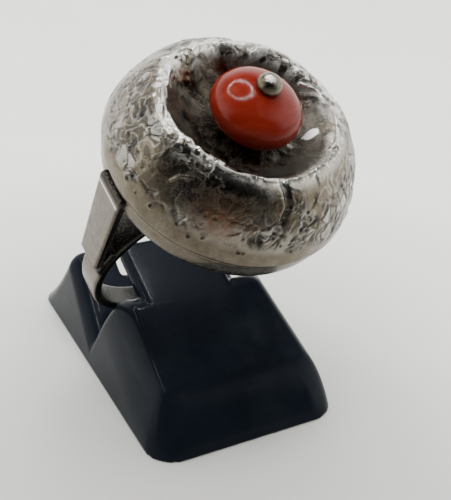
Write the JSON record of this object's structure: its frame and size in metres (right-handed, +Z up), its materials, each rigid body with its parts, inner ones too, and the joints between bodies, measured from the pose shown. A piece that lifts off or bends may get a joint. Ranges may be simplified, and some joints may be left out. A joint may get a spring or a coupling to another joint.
{
  "type": "coral ring on a display stand",
  "caption": "Silver ring with a hollow domed head and a coral bead pinned in its crater, seated on a small plastic display stand",
  "frame": {"origin": "middle of the display stand's base, on the surface that it stands on", "axes": "+Z up, +Y towards the back of the stand, +X to the right seen from the front"},
  "size_m": [0.0258, 0.0437, 0.0399],
  "materials": {
    "silver": "silver, oxidised dark in its wrinkles and polished on the high places",
    "coral": "polished coral with faint streaks",
    "pin_silver": "polished silver",
    "stand_plastic": "glossy dark navy moulded plastic"
  },
  "bodies": {
    "root": {"silver_ring": "silver", "coral_bead": "coral", "bead_pin": "pin_silver", "display_stand": "stand_plastic"}
  },
  "joints": []
}
